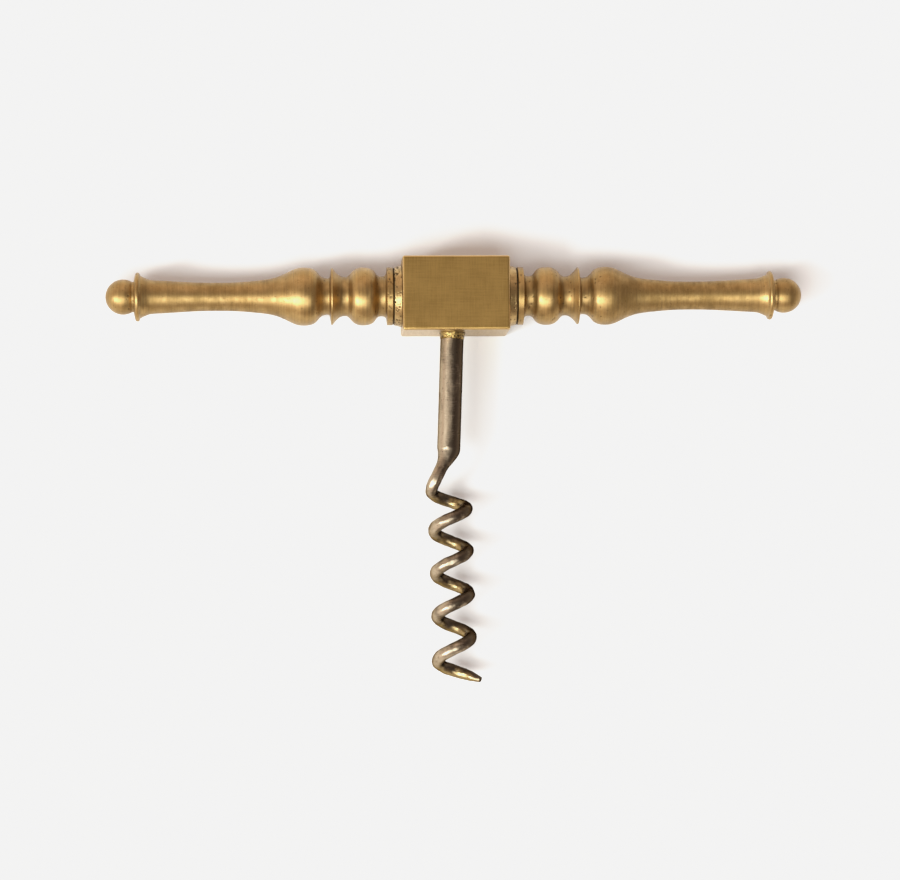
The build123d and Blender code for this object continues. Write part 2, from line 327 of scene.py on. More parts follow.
def smooth_runs(points, step):
    """A fine line through the points, curved except where it turns a real corner."""
    directions = np.diff(points, axis=0)
    bearing = np.arctan2(directions[:, 1], directions[:, 0])
    real_corner = radians(40)
    corners = np.flatnonzero(np.abs(np.diff(bearing)) > real_corner) + 1
    ends = [0, *corners.tolist(), len(points) - 1]
    line = [points[:1]]
    for start, end in zip(ends, ends[1:]):
        run = points[start : end + 1]
        along = lengths(run)
        slopes = np.gradient(run, along, axis=0, edge_order=2 if len(run) > 2 else 1)
        wanted = np.linspace(0, along[-1], max(2, int(along[-1] / step) + 1))[1:]
        place = np.clip(np.searchsorted(along, wanted) - 1, 0, len(run) - 2)
        gap = (along[place + 1] - along[place])[:, None]
        t = ((wanted - along[place]) / gap[:, 0])[:, None]
        line.append(
            run[place] * (2 * t**3 - 3 * t**2 + 1)
            + run[place + 1] * (3 * t**2 - 2 * t**3)
            + slopes[place] * gap * (t**3 - 2 * t**2 + t)
            + slopes[place + 1] * gap * (t**3 - t**2)
        )
    return np.vstack(line)


def eased_outline(points, spacing):
    """The same line with its corners a little rounded, and points closer together where it turns."""
    step, blur, points_per_radian = 0.01 * MM, 0.04 * MM, 4.0
    total = lengths(points)[-1]
    fine = at_lengths(points, np.linspace(0, total, int(total / step) + 1))
    eased = np.stack([softened(fine[:, i], CORNER_EASE, step) for i in (0, 1)], axis=1)
    direction = np.gradient(eased, axis=0)
    bearing = np.unwrap(np.arctan2(direction[:, 1], direction[:, 0]))
    turning = softened(np.abs(np.diff(bearing)), blur, step)
    weight = np.concatenate([[0], np.cumsum(step / spacing + points_per_radian * turning)])
    wanted = np.linspace(0, weight[-1], int(weight[-1]) + 1)
    return np.stack([np.interp(wanted, weight, eased[:, i]) for i in (0, 1)], axis=1)


def pit_grid(outline, angles, zones, seed):
    """How deep the casting pits are at each point: 0 on clean metal, 1 at a pit's middle."""
    dice = np.random.default_rng(seed)
    steepness = 1.5  # above 1, so that a pit has a flat middle
    along = lengths(outline)
    outer = outline[:, 1] > PITTED_OUTSIDE
    depth = np.zeros((len(outline), len(angles)))
    for start, end, count in zones:
        for _ in range(count):
            here = np.interp(dice.uniform(start, end) * MM, outline[outer, 0], along[outer])
            size = dice.uniform(*PIT_SIZE)
            turn = (angles - dice.uniform(0, 2 * pi) + pi) % (2 * pi) - pi
            across = turn[None, :] * outline[:, 1:2]
            distance = np.hypot((along - here)[:, None], across) / size
            depth = np.maximum(depth, np.clip(steepness * (1 - distance**2), 0, 1))
    return depth


def groove_grime_and_shade(outline):
    """How dark each point of an outline is by its place: grooves get patina and painted shade, and a dark
    seam lies beside each end of the seat ring.
    """
    samples, blur, steepness = 4001, 60, 1.6
    share, fine_share = np.linspace(0, 1, len(outline)), np.linspace(0, 1, samples)
    around = softened(np.interp(fine_share, share, outline[:, 1]), blur, 1)
    valley = np.interp(share, fine_share, around) - outline[:, 1]
    valley = np.clip(valley / VALLEY_DEPTH, 0, 1)
    seam = np.minimum(np.abs(outline[:, 0] - RING_END) / ARM_SEAM, np.abs(outline[:, 0]) / BLOCK_SEAM)
    return np.maximum(valley, np.clip(steepness * (1 - seam), 0, 1))


def turned_piece(name, outline, side, segments, seed, zones, dulled=NOT_DULLED, rows_close=False):
    """A turned part: the outline goes round the handle's axis, with tool marks, slight waviness and pits."""
    angles = round_angles(segments)
    direction = np.gradient(outline, axis=0)
    direction /= np.linalg.norm(direction, axis=1)[:, None] + NOT_ZERO
    place = np.zeros((len(outline), segments, 3))
    place[..., 0] = side * (HALF_LENGTH + outline[:, 0])[:, None]
    place[..., 1] = outline[:, 1][:, None] * np.sin(angles)
    place[..., 2] = AXIS_HEIGHT + outline[:, 1][:, None] * np.cos(angles)
    outward = np.zeros_like(place)
    outward[..., 0] = (-side * direction[:, 1])[:, None]
    outward[..., 1] = direction[:, 0][:, None] * np.sin(angles)
    outward[..., 2] = direction[:, 0][:, None] * np.cos(angles)
    marks = np.zeros(place.shape[:-1])
    for offset, (size, tall) in enumerate(TOOL_MARKS):
        marks += noise(place, np.array(size) * MM, seed + offset) * tall
    pits = pit_grid(outline, angles, zones, seed + len(TOOL_MARKS))
    height = marks * MM / 1000 - pits * PIT_DEPTH
    open_surface = (outline[:, 1] > MARKED_OUTSIDE)[:, None]
    place += outward * (height * open_surface)[..., None]
    # grooves darken as patina with painted shade; pits and seams are real dirt
    grime_and_shade = np.maximum(groove_grime_and_shade(outline)[:, None], pits)
    # painted shade: the right arm's grip carries extra film for its dimmer light
    outs, amounts = zip(*dulled)
    dull_and_shade = np.interp(outline[:, 0] / MM, outs, amounts)[:, None] * np.ones(segments)
    return grid_piece(name, place, rows_close, grime_and_shade, dull_and_shade)


def block_steps(half, radius):
    """Places along one side of a rounded box's grid: even on the flat, even by angle round each edge."""
    flat_steps, edge_steps = 70, 7
    flat = np.linspace(-(half - radius), half - radius, flat_steps)
    edge = (half - radius) + radius * np.tan(np.linspace(0, pi / 4, edge_steps)[1:])
    return np.concatenate([-edge[::-1], flat, edge])


def block_piece():
    """The centre block: a box with soft worn edges, bored for both studs and for the shank's tang."""
    half = np.array([HALF_LENGTH, HALF_BREADTH, AXIS_HEIGHT])
    steps = [block_steps(h, BLOCK_EDGE_RADIUS) for h in half]
    wear_depth, nick_depth, dish_depth = 0.12 * MM, 0.22 * MM, 0.004 * MM
    wear_size, nick_size, dish_size = 1.9 * MM, 0.7 * MM, 4 * MM
    unnicked = 0.45  # where the noise is below this, the edge has no nick
    work = bmesh.new()
    worn = work.verts.layers.float.new("worn")
    for axis, end in product(range(3), (-1, 1)):
        first, second = [i for i in range(3) if i != axis]
        a, b = np.meshgrid(steps[first], steps[second], indexing="ij")
        face = np.zeros((*a.shape, 3))
        face[..., axis] = end * half[axis]
        face[..., first], face[..., second] = a, b
        inner = np.clip(face, BLOCK_EDGE_RADIUS - half, half - BLOCK_EDGE_RADIUS)
        offset = face - inner
        outward = offset / np.linalg.norm(offset, axis=-1, keepdims=True)
        on_edge = 1 - np.abs(outward).max(axis=-1)
        wear = 0.5 + 0.5 * noise(face, wear_size, BLOCK_SEED)
        nicks = np.clip(noise(face, nick_size, BLOCK_SEED + 1) - unnicked, 0, 1)
        height = -on_edge * (wear_depth * wear + nick_depth * nicks)
        height -= dish_depth * (1 + noise(face, dish_size, BLOCK_SEED + 2))
        surface = inner + outward * (BLOCK_EDGE_RADIUS + height)[..., None]
        surface[..., 2] += AXIS_HEIGHT
        grid = []
        for i in range(surface.shape[0]):
            grid.append([work.verts.new(point) for point in surface[i]])
            for vertex, amount in zip(grid[i], on_edge[i]):
                vertex[worn] = amount / EDGE_FULLY_TURNED
        for i, j in product(range(len(grid) - 1), range(len(grid[0]) - 1)):
            work.faces.new((grid[i][j], grid[i + 1][j], grid[i + 1][j + 1], grid[i][j + 1]))
    bmesh.ops.remove_doubles(work, verts=work.verts, dist=0.002 * MM)
    mesh = bpy.data.meshes.new("block_body")
    work.to_mesh(mesh)
    work.free()
    piece = finish_mesh("block_body", mesh)
    overshoot = 1 * MM
    stud_depth = -STUD_START + HOLE_RUNOUT
    for side in SIDES.values():
        mouth = Vector((side * (HALF_LENGTH + overshoot), 0, AXIS_HEIGHT))
        bottom = Vector((side * (HALF_LENGTH - stud_depth), 0, AXIS_HEIGHT))
        bore(piece, mouth, bottom, STUD_RADIUS + HOLE_CLEARANCE)
    mouth, bottom = shank_at(HALF_BREADTH + overshoot), shank_at(SHANK_TOP - HOLE_RUNOUT)
    bore(piece, mouth, bottom, SHANK_RADIUS + HOLE_CLEARANCE)
    return piece


def bore(piece, start, end, radius):
    """Drills a round hole between two points."""
    segments = 96
    cutter_mesh = bpy.data.meshes.new("cutter")
    work = bmesh.new()
    turn = (end - start).to_track_quat("Z", "Y").to_matrix().to_4x4()
    place = Matrix.Translation((start + end) / 2) @ turn
    depth = (end - start).length
    bmesh.ops.create_cone(
        work, cap_ends=True, segments=segments, radius1=radius, radius2=radius, depth=depth, matrix=place
    )
    work.to_mesh(cutter_mesh)
    work.free()
    cutter = placed("cutter", cutter_mesh)
    cut = piece.modifiers.new("bore", "BOOLEAN")
    cut.operation, cut.solver, cut.object = "DIFFERENCE", "EXACT", cutter
    evaluated = piece.evaluated_get(bpy.context.evaluated_depsgraph_get())
    drilled = bpy.data.meshes.new_from_object(evaluated)
    piece.modifiers.clear()
    old, piece.data = piece.data, drilled
    bpy.data.meshes.remove(old)
    bpy.data.objects.remove(cutter)
    bpy.data.meshes.remove(cutter_mesh)


# ---------------------------------------------------------------- shank and worm


def shank_at(down):
    """The shank's centre at that distance down from the handle's axis."""
    return Vector((SHANK_X + SHANK_LEAN * (down - HALF_BREADTH), -down, AXIS_HEIGHT))


def shank_direction():
    return (shank_at(1.0) - shank_at(0.0)).normalized()


def looseness(turns, amounts):
    """How far the loose turns carry the wire at that point: a soft bump at each loose turn."""
    return sum(amount * exp(-(((turns - at) / LOOSE_TURNS) ** 2)) for at, amount in zip(LOOSE_AT, amounts))


def helix_point(turns):
    """The wire's centre that many turns down from the helix's start, on its left."""
    angle = pi + 2 * pi * turns
    radius = HELIX_RADIUS + looseness(turns, LOOSE_OUT)
    drop = HELIX_PITCH * turns + looseness(turns, LOOSE_DOWN)
    down = Vector((sin(HELIX_LEAN), -cos(HELIX_LEAN), 0))
    across = Vector((cos(HELIX_LEAN), sin(HELIX_LEAN), 0))
    start = Vector((HELIX_START_X, -HELIX_START, AXIS_HEIGHT))
    return start + down * drop + across * (radius * cos(angle)) + Vector((0, 0, radius * sin(angle)))


def helix_direction(turns):
    step = 0.001
    return (helix_point(turns + step) - helix_point(turns - step)).normalized()


def wire_point(turns):
    wound = min(turns, STRAIGHT_FROM)
    return helix_point(wound) + helix_direction(wound) * ((turns - wound) * WIRE_PER_TURN)


def wire_radius(turns):
    share = max(0.0, turns - TAPER_FROM) / (WIRE_END - TAPER_FROM)
    return WIRE_RADIUS + (TIP_RADIUS - WIRE_RADIUS) * share**TAPER_POWER


def bend_point(t):
    """The bend from the shank's end to the helix's first crest: a cubic curve."""
    start, end = shank_at(SHANK_END), helix_point(0)
    top_handle = start + shank_direction() * BEND_REACH_TOP
    bottom_handle = end - helix_direction(0) * BEND_REACH_BOTTOM
    s = 1 - t
    return start * s**3 + top_handle * (3 * s * s * t) + bottom_handle * (3 * s * t * t) + end * t**3


def bend_radius(t):
    share = min(1.0, t / DRAWN_BY)
    eased = share * share * (3 - 2 * share)
    return SHANK_RADIUS + (WIRE_RADIUS - SHANK_RADIUS) * eased


def worm_stations(spacing):
    """(centre, radius) along the whole shank and worm, about that far apart."""
    stations = []
    for down in np.linspace(SHANK_TOP, SHANK_END, round((SHANK_END - SHANK_TOP) / spacing), endpoint=False):
        stations.append((shank_at(down), SHANK_RADIUS))
    for t in np.linspace(0, 1, round(BEND_LENGTH / spacing), endpoint=False):
        stations.append((bend_point(t), bend_radius(t)))
    for turns in np.linspace(0, WIRE_END, round(WIRE_END * WIRE_PER_TURN / spacing)):
        stations.append((wire_point(turns), wire_radius(turns)))
    return stations


def hammered(radii, along, angles):
    """The rod's radius at each point, once a hammer has left its flats along the wire."""
    dice = np.random.default_rng(HAMMER_SEED)
    steepness, least_turn = 1.4, 0.5
    shape = np.repeat(radii[:, None], len(angles), axis=1)
    for _ in range(HAMMER_BLOWS):
        middle = dice.uniform(FLATS_FROM, along[-1])
        reach = dice.uniform(*FLAT_REACH)
        facing = dice.uniform(0, 2 * pi)
        depth = dice.uniform(*FLAT_DEPTH)
        turn = np.cos(angles - facing)
        fade = np.clip(steepness * (1 - np.abs(along - middle) / reach), 0, 1)[:, None]
        flat = radii[:, None] * (1 - depth) / np.maximum(turn, least_turn)[None, :]
        shape -= np.maximum(shape - flat, 0) * np.minimum(fade * 2, 1)
    return shape


def worm_piece():
    """One forged rod: a round shank, drawn down to a wound wire with a cut end."""
    stations = worm_stations(ROD_SPACING)
    centres = [centre for centre, _ in stations]
    radii = np.array([radius for _, radius in stations])
    across = Vector((0, 0, 1))
    angles = round_angles(ROD_SEGMENTS)
    rows, outwards = [], []
    for behind, ahead, centre in zip(centres[:1] + centres[:-1], centres[1:] + centres[-1:], centres):
        along = (ahead - behind).normalized()
        across = (across - along * across.dot(along)).normalized()
        sideways = along.cross(across)
        outward = np.outer(np.cos(angles), across) + np.outer(np.sin(angles), sideways)
        rows.append(np.array(centre))
        outwards.append(outward)
    middle, outward = np.array(rows)[:, None, :], np.array(outwards)
    place = middle + outward * hammered(radii, lengths(middle[:, 0]), angles)[..., None]
    lumps = np.zeros(place.shape[:-1])
    for offset, (size, tall) in enumerate(LUMPS):
        lumps += noise(place, size * MM, ROD_SEED + offset) * tall
    wound = np.clip((SHANK_RADIUS - radii) / (SHANK_RADIUS - WIRE_RADIUS), SHANK_ROUGHNESS, 1)[:, None]
    size, tall = RIPPLES
    ripples = noise(place, np.array(size) * MM, ROD_SEED + len(LUMPS)) * tall
    height = (lumps * wound + ripples) * MM
    height[[centre.y > -HALF_BREADTH - SMOOTH_PAST_BLOCK for centre in centres]] = 0
    place += outward * height[..., None]
    # the cut end: rings step in to a nearly flat face
    end = place[-1]
    centre = end.mean(axis=0)
    forward = np.array((centres[-1] - centres[-2]).normalized()) * CUT_END_RISE
    face = [centre + (end - centre) * share + forward * rise for share, rise in CUT_END_RINGS]
    place = np.concatenate([place, np.array(face)])
    return grid_piece("worm_rod", place)


def braze_piece():
    """The lumpy brass meniscus between the block's lower face and the shank."""
    node_low, node_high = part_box("braze_fillet")
    height = node_high.y - node_low.y
    foot = SHANK_RADIUS + BRAZE_SPREAD * ((node_high.z - node_low.z) / 2 - SHANK_RADIUS)
    along = shank_direction()
    across = Vector((0, 0, 1))
    sideways = along.cross(across)
    segments, steps, upper_part = 144, 14, 0.7
    angles = round_angles(segments)
    slope = np.linspace(0, 1, steps)
    crest, hidden, hidden_share = SHANK_RADIUS + BRAZE_CREST, SHANK_RADIUS - SKIN, 0.97
    outer = np.stack([crest + (foot - crest) * (1 - slope) ** BRAZE_CURVE, slope * height], axis=1)
    inner = np.array([[hidden, height * hidden_share], [hidden, 0.0]])
    profile = np.vstack([outer, inner])
    spread = np.outer(np.cos(angles), across) + np.outer(np.sin(angles), sideways)
    root = np.array(shank_at(HALF_BREADTH))
    place = root + profile[:, :1, None] * spread[None] + profile[:, 1:, None] * np.array(along)
    lump = np.zeros(place.shape[:-1])
    for offset, (size, share) in enumerate(BRAZE_LUMPS):
        lump += noise(place, size * MM, BRAZE_SEED + offset) * share
    amount = np.concatenate([np.sin(pi * slope), [0, 0]]) * BRAZE_LUMP
    place += spread[None] * (lump * amount[:, None])[..., None]
    rise = noise(place, BRAZE_RISE, BRAZE_SEED + len(BRAZE_LUMPS))
    upper_edge = profile[:, 1:] > upper_part * height
    place += np.array(along) * (rise * upper_edge * BRAZE_RAGGED)[..., None]
    place[..., 1] = np.minimum(place[..., 1], -HALF_BREADTH)
    return grid_piece("braze_bead", place, rows_close=True)


# ---------------------------------------------------------------- turned parts


def arm_piece(side_name, side):
    """A turned arm, open at both ends: the stud's hole at one and the finial's at the other."""
    bore_radius = STUD_RADIUS + HOLE_CLEARANCE
    spigot_bore = SPIGOT_RADIUS + HOLE_CLEARANCE
    outer = smooth_runs(cad_outline(f"{side_name}_arm", side, bore_radius), OUTLINE_STEP)
    stud_hole = [(STUD_END, CENTRE_HOLE), (STUD_END, bore_radius), (RING_END, bore_radius)]
    spigot_hole = [(ARM_END, spigot_bore), (SPIGOT_START, spigot_bore), (SPIGOT_START, CENTRE_HOLE)]
    outline = eased_outline(np.vstack([stud_hole, outer, spigot_hole]), ARM_SPACING)
    name, zones, dulled = f"{side_name}_turned_arm", ARM_PITS[side_name], ARM_FILM_AND_SHADE[side_name]
    return turned_piece(name, outline, side, ARM_SEGMENTS, ARM_SEED + side, zones, dulled)


def ring_piece(side_name, side):
    """The loose seat ring between the block and the arm."""
    bore_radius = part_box(f"{side_name}_stud")[1].y + 2 * HOLE_CLEARANCE
    outer = smooth_runs(cad_outline(f"{side_name}_seat_ring", side, bore_radius), OUTLINE_STEP)
    loop = np.vstack([[(0, bore_radius)], outer, [(RING_END, bore_radius)], [(0.05 * MM, bore_radius)]])
    loop[:, 0] = np.maximum(loop[:, 0], SEAT_GAP)
    outline = eased_outline(loop, RING_SPACING)
    name, zones = f"{side_name}_loose_ring", RING_PITS[side_name]
    return turned_piece(name, outline, side, RING_SEGMENTS, RING_SEED + side, zones, rows_close=True)


def ball_piece(side_name, side):
    """The ball finial, with the spigot that holds it in the arm."""
    outer = smooth_runs(cad_outline(f"{side_name}_end_ball", side, SPIGOT_RADIUS, ARM_END), OUTLINE_STEP)
    chamfer = 0.3 * MM
    spigot = [
        (SPIGOT_START, CENTRE_HOLE),
        (SPIGOT_START, SPIGOT_RADIUS - chamfer),
        (SPIGOT_START + chamfer, SPIGOT_RADIUS),
        (ARM_END, SPIGOT_RADIUS),
    ]
    outline = eased_outline(np.vstack([spigot, outer]), BALL_SPACING)
    name = f"{side_name}_finial"
    return turned_piece(name, outline, side, BALL_SEGMENTS, BALL_SEED + side, BALL_PITS, BALL_DULLED)


def stud_piece(side_name, side):
    """An M5 x 0.8 grub screw: a rolled thread with chamfered ends and a hex socket in its inner end."""
    segments, rows_per_pitch = 60, 12
    rows = int((STUD_END - STUD_START) / THREAD_PITCH * rows_per_pitch)
    outs = np.linspace(STUD_START, STUD_END, rows)
    angles = round_angles(segments)
    phase = (outs[:, None] / THREAD_PITCH - angles[None, :] / (2 * pi)) % 1
    steepness, crest_flat = 1.35, 0.12
    sunk = np.clip(np.abs(phase - 0.5) * 2 * steepness - crest_flat, 0, 1)
    from_end = np.minimum(outs - STUD_START, STUD_END - outs)[:, None]
    radius = np.minimum(STUD_RADIUS - THREAD_DEPTH * sunk, STUD_RADIUS - THREAD_CHAMFER + from_end)
    hexagon = SOCKET_HALF_WIDTH / np.cos((angles + pi / 6) % (pi / 3) - pi / 6)
    socket_end, flare_depth, flare = STUD_START + SOCKET_DEPTH, 0.05 * MM, 1.06
    socket_centre, end_centre = 0.3 * MM, 0.5 * MM
    socket_outs = [socket_end, socket_end, STUD_START + flare_depth, STUD_START]
    socket = [np.full(segments, socket_centre), hexagon, hexagon, hexagon * flare]
    outs = np.concatenate([socket_outs, outs, [STUD_END]])
    radius = np.vstack([*socket, radius, np.full(segments, end_centre)])
    place = np.zeros((*radius.shape, 3))
    place[..., 0] = side * (HALF_LENGTH + outs)[:, None]
    place[..., 1] = side * radius * np.sin(angles)
    place[..., 2] = AXIS_HEIGHT + radius * np.cos(angles)
    return grid_piece(f"{side_name}_threaded_stud", place)


# ---------------------------------------------------------------- materials


class Shader:
    """A short way to build a node tree: every input is a number, a colour or another node's output."""

    def __init__(self, tree):
        self.tree = tree
        tree.nodes.clear()

    def add(self, kind, inputs=None, **settings):
        made = self.tree.nodes.new(kind)
        for name, value in settings.items():
            setattr(made, name, value)
        for socket, value in (inputs or {}).items():
            self.set(made.inputs[socket], value)
        return made

    def set(self, socket, value):
        if isinstance(value, bpy.types.NodeSocket):
            self.tree.links.new(value, socket)
        elif isinstance(value, tuple) and len(value) == 3 and socket.type == "RGBA":
            socket.default_value = (*value, 1)
        else:
            socket.default_value = value

    def math(self, operation, a, b=0.0):
        made = self.add("ShaderNodeMath", {0: a, 1: b}, operation=operation)
        return made.outputs[0]

    def place(self, per_mm):
        """Object coordinates, scaled to that many units per millimetre along each axis."""
        source = self.add("ShaderNodeTexCoord").outputs["Object"]
        scale = tuple(value / MM for value in per_mm)
        return self.add("ShaderNodeMapping", {"Vector": source, "Scale": scale}).outputs["Vector"]

    def noise(self, per_mm, detail=3.0, roughness=0.55):
        """Noise from about 0 to 1, with that many lumps per millimetre along each axis."""
        inputs = {"Vector": self.place(per_mm), "Scale": 1.0, "Detail": detail, "Roughness": roughness}
        return self.add("ShaderNodeTexNoise", inputs).outputs["Fac"]

    def attribute(self, name):
        """A number kept with each point of the mesh."""
        return self.add("ShaderNodeAttribute", attribute_name=name).outputs["Fac"]

    def shade(self, colour, amount):
        """The colour times that number."""
        grey = self.add("ShaderNodeCombineColor", {0: amount, 1: amount, 2: amount}).outputs[0]
        return self.mix(1.0, colour, grey, "MULTIPLY")

    def remap(self, value, low, high, out_low=0.0, out_high=1.0):
        """The value, moved from one range to another and held within it."""
        inputs = {"Value": value, "From Min": low, "From Max": high, "To Min": out_low, "To Max": out_high}
        return self.add("ShaderNodeMapRange", inputs).outputs["Result"]

    def mix(self, share, first, second, blend="MIX"):
        made = self.add("ShaderNodeMix", data_type="RGBA", blend_type=blend)
        self.set(made.inputs[0], share)
        self.set(made.inputs[6], first)
        self.set(made.inputs[7], second)
        return made.outputs[2]

    def bump(self, height, distance, normal=None):
        """The surface's direction, tilted as if the height stood out by up to that distance."""
        inputs = {"Height": height, "Distance": distance, "Strength": 1.0}
        if normal is not None:
            inputs["Normal"] = normal
        return self.add("ShaderNodeBump", inputs).outputs["Normal"]


def metal(name, build):
    """A metal material. build gives the colour, roughness and normal, and constant sockets by name."""
    material = bpy.data.materials.new(name)
    material.use_nodes = True
    shader = Shader(material.node_tree)
    inputs = {"Metallic": 1.0, **build(shader)}
    surface = shader.add("ShaderNodeBsdfPrincipled", inputs)
    output = shader.add("ShaderNodeOutputMaterial", {"Surface": surface.outputs[0]})
    output.target = "ALL"
    return material


def turned_brass(shader):
    """Lathe-turned brass: fine lines round the axis, mottled handling film, and dark patina in grooves and
    pits, with painted shade in the grooves and on the right arm's grip.
    """
    bright, aged = (0.45, 0.295, 0.118), (0.33, 0.205, 0.074)
    tarnish_and_shade, patina_and_shade = (0.17, 0.105, 0.035), (0.035, 0.025, 0.014)
    lines = shader.noise((4.0, 0.12, 0.12), detail=4)
    broad_lines = shader.noise((1.3, 0.07, 0.07))
    mottle = shader.noise((0.45, 0.45, 0.45), detail=5)
    specks = shader.noise((2.6, 2.6, 2.6), detail=2)
    tone = shader.remap(shader.math("ADD", mottle, shader.math("MULTIPLY", lines, 0.5)), 0.55, 0.95)
    colour = shader.mix(tone, bright, aged)
    colour = shader.shade(colour, shader.remap(lines, 0.32, 0.68, 0.72, 1.16))
    # the dark in the grooves is patina plus painted shade; pits, specks and seams are real dirt
    dirt_and_shade = shader.math("MULTIPLY", shader.attribute("grime_and_shade"), shader.remap(mottle, 0.3, 0.7, 0.5, 1.0))
    stain_and_shade = shader.math("MAXIMUM", dirt_and_shade, shader.remap(specks, 0.62, 0.72, 0.0, 0.4))
    colour = shader.mix(shader.math("MINIMUM", stain_and_shade, 0.92), colour, patina_and_shade)
    # film from handling, made heavier on the right arm's grip as painted shade
    patches = shader.noise((0.7, 0.3, 0.3), detail=6, roughness=0.65)
    film_and_shade = shader.math("MULTIPLY", shader.attribute("dull_and_shade"), shader.remap(patches, 0.38, 0.62, 0.3, 1.0))
    colour = shader.mix(shader.math("MULTIPLY", film_and_shade, 0.34), colour, tarnish_and_shade)
    roughness = shader.remap(lines, 0.3, 0.7, 0.34, 0.44)
    roughness = shader.math("ADD", roughness, shader.math("MULTIPLY", stain_and_shade, 0.25))
    roughness = shader.math("ADD", roughness, shader.math("MULTIPLY", film_and_shade, 0.1))
    normal = shader.bump(lines, 0.012 * MM, shader.bump(broad_lines, 0.03 * MM))
    tangent = shader.add("ShaderNodeTangent", direction_type="RADIAL", axis="X").outputs["Tangent"]
    return {
        "Base Color": colour,
        "Roughness": roughness,
        "Normal": normal,
        "Anisotropic": 0.25,
        "Anisotropic Rotation": 0.25,
        "Tangent": tangent,
    }


def ring_brass(shader):
    """The same brass, left rough and dark, with black specks in its cast skin."""
    bright, aged, patina_and_shade = (0.47, 0.315, 0.135), (0.27, 0.175, 0.07), (0.02, 0.014, 0.008)
    mottle = shader.noise((0.8, 0.8, 0.8), detail=6)
    specks = shader.noise((4.0, 4.0, 4.0), detail=3)
    colour = shader.mix(shader.remap(mottle, 0.35, 0.7), bright, aged)
    # grooves and ring ends darken: patina and dark seams, with painted shade in the grooves
    stain_and_shade = shader.math("MAXIMUM", shader.attribute("grime_and_shade"), shader.remap(specks, 0.6, 0.7, 0.0, 0.7))
    colour = shader.mix(shader.math("MINIMUM", stain_and_shade, 0.95), colour, patina_and_shade)
    roughness = shader.remap(mottle, 0.3, 0.7, 0.26, 0.38)
    roughness = shader.math("ADD", roughness, shader.math("MULTIPLY", stain_and_shade, 0.35))
    return {"Base Color": colour, "Roughness": roughness, "Normal": shader.bump(specks, 0.01 * MM)}


def block_brass(shader):
    """Brass sanded flat both ways: a fine woven grain and bare bright worn edges, with the flanks lightened
    towards the bare colour as a painted reflection of the pale floor.
    """
    bright, aged, bare_and_reflected = (0.378, 0.236, 0.075), (0.255, 0.156, 0.047), (0.6, 0.42, 0.19)
    lengthwise = shader.noise((0.25, 4.5, 4.5), detail=3)
    crosswise = shader.noise((4.5, 0.25, 0.25), detail=3)
    mottle = shader.noise((0.22, 0.22, 0.22), detail=4)
    weave = shader.math("MULTIPLY", shader.math("ADD", lengthwise, crosswise), 0.5)
    tone = shader.remap(shader.math("ADD", weave, shader.math("MULTIPLY", mottle, 0.35)), 0.56, 0.8)
    colour = shader.mix(tone, bright, aged)
    facing = shader.add("ShaderNodeTexCoord").outputs["Normal"]
    upward = shader.add("ShaderNodeSeparateXYZ", {0: facing}).outputs["Z"]
    # painted reflection: the flanks are lightened towards the bare colour, as if reflecting the pale floor
    flank_reflection = shader.remap(shader.math("ABSOLUTE", upward), 0.75, 0.45)
    edge = shader.remap(shader.attribute("worn"), 0.15, 0.8)
    bare_and_reflection = shader.math("MAXIMUM", edge, shader.math("MULTIPLY", flank_reflection, 0.3))
    colour = shader.mix(bare_and_reflection, colour, bare_and_reflected)
    roughness = shader.remap(weave, 0.35, 0.65, 0.33, 0.43)
    roughness = shader.math("SUBTRACT", roughness, shader.math("MULTIPLY", bare_and_reflection, 0.12))
    return {"Base Color": colour, "Roughness": roughness, "Normal": shader.bump(weave, 0.006 * MM)}


def worm_steel(shader):
    """Forged steel, browned by age, light where rubbed and in mottled dark scale; darker on its right-facing
    sides as painted shade, and gold below its middle as a painted reflection.
    """
    rubbed, scale, soot = (0.42, 0.335, 0.23), (0.09, 0.068, 0.047), (0.025, 0.019, 0.014)
    painted_gold_reflection = (0.29, 0.2, 0.075)
    mottle = shader.noise((0.5, 0.22, 0.5), detail=6)
    scratches = shader.noise((0.8, 7.0, 0.8), detail=3)
    flecks = shader.noise((2.2, 2.2, 2.2), detail=3)
    coordinates = shader.add("ShaderNodeTexCoord").outputs
    facing = shader.add("ShaderNodeSeparateXYZ", {0: coordinates["Normal"]}).outputs
    place = shader.add("ShaderNodeSeparateXYZ", {0: coordinates["Object"]}).outputs
    # painted reflection: the wire below the axis is tinted gold
    low = shader.remap(place["Z"], AXIS_HEIGHT + 0.2 * MM, AXIS_HEIGHT - 1.2 * MM)
    # painted shade: sides facing right and towards the handle take more of the dark scale colour
    shade_to_right = shader.math("ADD", facing["X"], shader.math("MULTIPLY", facing["Y"], 0.8))
    scaled = shader.math("ADD", mottle, shader.math("MULTIPLY", shader.remap(shade_to_right, -0.5, 0.8), 0.45))
    streaks = shader.math("MULTIPLY", shader.math("SUBTRACT", scratches, 0.5), 0.3)
    scaled = shader.math("ADD", scaled, streaks)
    colour = shader.mix(shader.math("MULTIPLY", low, 0.8), rubbed, painted_gold_reflection)
    # the dark scale colour marks real scale where the mottle is high, and painted shade on the right-facing
    # sides
    colour = shader.mix(shader.remap(scaled, 0.45, 0.8), colour, scale)
    colour = shader.mix(shader.remap(flecks, 0.58, 0.75, 0.0, 0.6), colour, soot)
    roughness = shader.remap(shader.math("ADD", mottle, scratches), 0.7, 1.3, 0.3, 0.44)
    normal = shader.bump(flecks, 0.02 * MM, shader.bump(scratches, 0.01 * MM))
    return {
        "Base Color": colour,
        "Roughness": roughness,
        "Normal": normal,
        "Specular Tint": (0.15, 0.13, 0.11),
    }


